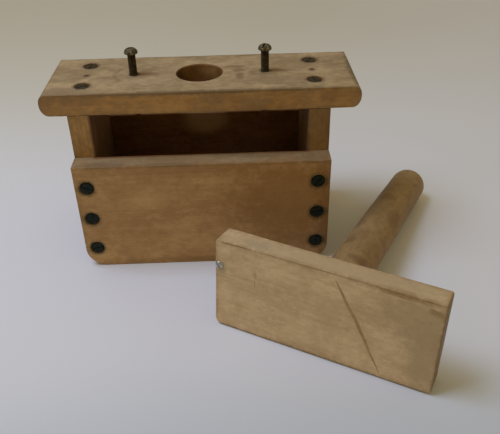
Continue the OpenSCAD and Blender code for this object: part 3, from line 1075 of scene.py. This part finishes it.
def plate_cracks(upper):
    """Each crack's path for bowed, its widths at both ends and its depth, in mm."""
    return (
        (((6.4, -22.6), (34.1, 25.6), -0.7, 0.6, 2, 26), (4.6, 3.2), 0.42),
        (((-57, upper + 0.7), (-39, upper + 0.5), 0, 0.15, 5, 14), (1.0, 0.8), 0.8),
        (((-39, upper + 0.55), (29, upper + 0.75), 0, 0.3, 7, 40), (0.45, 0.45), 0.4),
        (((27, upper + 0.9), (60, upper + 1.1), 0.4, 0.4, 9, 24), (1.3, 0.9), 0.6),
        (((52.5, -22.2), (59.5, -18.8), -0.6, 0.2, 11, 10), (1.8, 1.5), 0.5),
        (((-37.1, -8.4), (-36.9, -3.2), 0, 0.1, 13, 8), (0.6, 0.5), 0.35),
    )


def drill(radius, low, high, segments):
    """A cutter for a plain round hole between two heights."""
    return turned([(0, low), (radius, low), (radius, high), (0, high)], segments)


def build_plate(material, crack_material):
    """The presser: a flat board with a long crack, a split upper arris and small rounded corners."""
    lo, hi = own_box("plunger_plate", PLUNGER)
    corners = [
        (X, LOW, Y, HIGH, (2.6 * MM, 3.4 * MM), 1.0),
        (X, HIGH, Y, HIGH, (2.1 * MM, 2.1 * MM), 1.0),
        (X, LOW, Y, LOW, (1.2 * MM, 1.2 * MM), 1.0),
        (X, HIGH, Y, LOW, (1.4 * MM, 1.4 * MM), 1.0),
    ]
    mesh = worn_board(lo, hi, corners, 31, PLATE_ARRIS)
    thicken_end(mesh, lo, hi)
    mesh.materials.append(material)
    for path, widths, depth in plate_cracks(lo[Y] / MM):
        cutter = groove(bowed(*path), *widths, depth)
        mesh = cut(mesh, [(cutter, Matrix.Scale(MM, 4))], crack_material)
    screw_lo, screw_hi = own_box("plate_screw", PLUNGER)
    tenon_hole = drill(TENON_RADIUS + 0.04 * MM, hi[Z] - TENON_LENGTH, hi[Z] + OVERCUT, 48)
    screw_bore = drill(PLATE_SCREW_HOLE, -OVERCUT, screw_hi[Z] + 0.1 * MM, 24)
    holes = [(tenon_hole, Matrix.Identity(4)), (screw_bore, above(screw_lo, screw_hi, 0))]
    mesh = cut(mesh, holes, crack_material)
    mark_edges(mesh, lo, hi)
    stand_for("plunger_plate", mesh, "plunger", matrix=PLUNGER)


def build_handle(material):
    """The turned handle: slightly uneven, tapering to a rounded end, with a tenon into the plate."""
    lo, hi = own_box("plunger_handle", PLUNGER)
    _, plate_hi = own_box("plunger_plate", PLUNGER)
    start, end = plate_hi[Z], hi[Z]
    thick = (hi[X] - lo[X]) / 2

    def uneven(radius, height):
        def at(angle):
            spot = Vector((radius * math.cos(angle), radius * math.sin(angle), height))
            slow = 0.5 + noise.noise(spot / (26 * MM))
            quick = 0.5 + noise.noise(spot / (7 * MM) + Vector((5, 5, 5)))
            return radius - 0.22 * MM * max(0, slow) - 0.10 * MM * max(0, quick)

        return at

    foot = start - TENON_LENGTH + 0.1 * MM
    rings = [(0, foot), (TENON_RADIUS, foot)]
    rings += [(TENON_RADIUS, start), (uneven(thick - 0.4 * MM, start), start)]
    count = 90
    straight = end - HANDLE_ROUND
    for i in range(count + 1):
        height = start + 0.4 * MM + (straight - start - 0.4 * MM) * i / count
        radius = thick + (HANDLE_TIP - thick) * (height - start) / (straight - start)
        rings.append((uneven(radius, height), height))
    for radius, height in arc(HANDLE_TIP - HANDLE_ROUND, straight, HANDLE_ROUND, 8, 90, 14):
        rings.append((uneven(radius, height), height))
    rings.append((uneven(1.2 * MM, end - 0.01 * MM), end - 0.01 * MM))
    rings.append((0, end - 0.02 * MM))
    mesh = turned(rings, 64)
    stand_for("plunger_handle", mesh, "plunger", material, PLUNGER)


def build_plate_screw(material):
    """The small round-head screw at the plate's short edge."""
    lo, hi = own_box("plate_screw", PLUNGER)
    head = (hi[X] - lo[X]) / 2
    rise = -lo[Z]
    rings = [(0, -hi[Z]), (0.4 * MM, -hi[Z])]
    rings += thread_rings(-hi[Z] + 0.3 * MM, -0.6 * MM, 0.75 * MM, 1.05 * MM, 0.9 * MM)
    rings += [(1.0 * MM, 0), (head - 0.1 * MM, 0), (head, 0.12 * MM)]
    rings += dome(head, 0.12 * MM, rise, 8, (0.9, 1.0))
    mesh = slotted(turned(rings, 28), 3 * head, PLATE_SCREW_SLOT, rise, -40)
    place = PLUNGER @ above(lo, hi, 0) @ Matrix.Rotation(math.pi, 4, "X")
    stand_for("plate_screw", mesh, "plunger", material, place, ROUND_HEAD_SHARP)


# ---- stage


def paper_floor():
    """A pale sheet with painted shade: the floor, curving up far behind the object."""
    reach, bend_start, bend = 1.6, 0.42, 0.9
    stations = [(-reach, 0.0), (bend_start, 0.0)]
    for i in range(1, 25):
        angle = math.radians(70 * i / 24)
        stations.append((bend_start + bend * math.sin(angle), bend * (1 - math.cos(angle))))
    verts, faces = [], []
    for y, z in stations:
        verts += [(-reach, y, z), (reach, y, z)]
    for i in range(len(stations) - 1):
        faces.append((2 * i, 2 * i + 1, 2 * i + 3, 2 * i + 2))
    mesh = mesh_from(verts, faces)
    mesh.shade_smooth()
    s = Shader("paper", specular=0.15)
    drift = s.noise(0.25, 2, 0.5, 3.0)
    tooth = s.noise(1.2 * MM, 3, 0.6, 8.0)
    colour = s.mix(s.between(drift, 0.3, 0.7), (0.79, 0.77, 0.81), (0.77, 0.755, 0.79))
    # Painted shade: warmer and darker towards the back, cooler and darker in front, standing in for
    # uneven light on the floor.
    drifts = [
        ((-0.15, 0.45, 0.0), (0.50, 0.40, 0.40), (0.69, 0.64, 0.55), 0.9),
        ((0.07, -0.27, 0.0), (0.36, 0.15, 0.1), (0.53, 0.57, 0.64), 0.9),
    ]
    colour = tint(s, colour, drifts, raggedness=0.0)
    s.finish(colour, 0.9, tooth, 0.05 * MM, 0.3)
    mesh.materials.append(s.material)
    floor = add_object("floor", mesh)


def lights():
    """The window's lamp, and the room's glow behind a pale grey backdrop that only the camera sees."""
    world = bpy.data.worlds.new("room")
    bpy.context.scene.world = world
    world.use_nodes = True
    tree = world.node_tree
    glow = tree.nodes["Background"]
    glow.inputs["Color"].default_value = ROOM_COLOUR
    glow.inputs["Strength"].default_value = ROOM_STRENGTH
    backdrop = tree.nodes.new("ShaderNodeBackground")
    backdrop.inputs["Color"].default_value = BACKDROP_COLOUR
    seen = tree.nodes.new("ShaderNodeLightPath")
    either = tree.nodes.new("ShaderNodeMixShader")
    tree.links.new(seen.outputs["Is Camera Ray"], either.inputs[0])
    tree.links.new(glow.outputs[0], either.inputs[1])
    tree.links.new(backdrop.outputs[0], either.inputs[2])
    tree.links.new(either.outputs[0], tree.nodes["World Output"].inputs["Surface"])
    window = bpy.data.lights.new("window", "AREA")
    window.shape = "RECTANGLE"
    window.size = WINDOW_SIDE
    window.size_y = WINDOW_SIDE
    window.energy = WINDOW_POWER
    window.color = WINDOW_COLOUR
    lamp = bpy.data.objects.new("window", window)
    bpy.context.scene.collection.objects.link(lamp)
    lamp.location = WINDOW_PLACE
    aim = Vector(WINDOW_AIM) - lamp.location
    lamp.rotation_euler = aim.to_track_quat("-Z", "Y").to_euler()


def camera():
    """The camera, at the photograph's viewing angle."""
    lens = bpy.data.cameras.new("camera")
    lens.lens = CAMERA_LENS
    lens.sensor_width = SENSOR_WIDTH
    lens.clip_start = 0.01
    obj = bpy.data.objects.new("camera", lens)
    bpy.context.scene.collection.objects.link(obj)
    heading = Matrix.Rotation(CAMERA_YAW, 4, "Z")
    tilt = Matrix.Rotation(math.pi / 2 - CAMERA_PITCH, 4, "X")
    roll = Matrix.Rotation(CAMERA_ROLL, 4, "Z")
    obj.matrix_world = Matrix.Translation(CAMERA_PLACE) @ heading @ tilt @ roll
    bpy.context.scene.camera = obj


BLACKENED = tarnished_metal(
    "tarnish", (0.010, 0.015, 0.011), (0.035, 0.046, 0.033), (0.008, 0.012, 0.009), 5.0, 0.6
)
BRONZED = tarnished_metal(
    "bronze", (0.05, 0.034, 0.017), (0.10, 0.075, 0.04), (0.035, 0.022, 0.011), 9.0, 0.65
)
RUSTY = tarnished_metal(
    "rust", (0.15, 0.085, 0.055), (0.21, 0.13, 0.08), (0.12, 0.06, 0.04), 15.0, 0.7
)
BRIGHT = tarnished_metal(
    "steel", (0.42, 0.41, 0.38), (0.68, 0.66, 0.6), (0.16, 0.15, 0.12), 35.0, 0.35
)
build_box(stained_hole())
build_screws(BLACKENED, BRONZED)
build_nails(RUSTY)
build_bolts(bolt_brass(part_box("left_adjusting_bolt")[HIGH][Z] - BOLT_HEAD))
build_plate(plate_wood(), crack_wood())
build_handle(handle_wood())
build_plate_screw(BRIGHT)
paper_floor()
lights()
camera()
bpy.context.scene.view_settings.view_transform = "Standard"
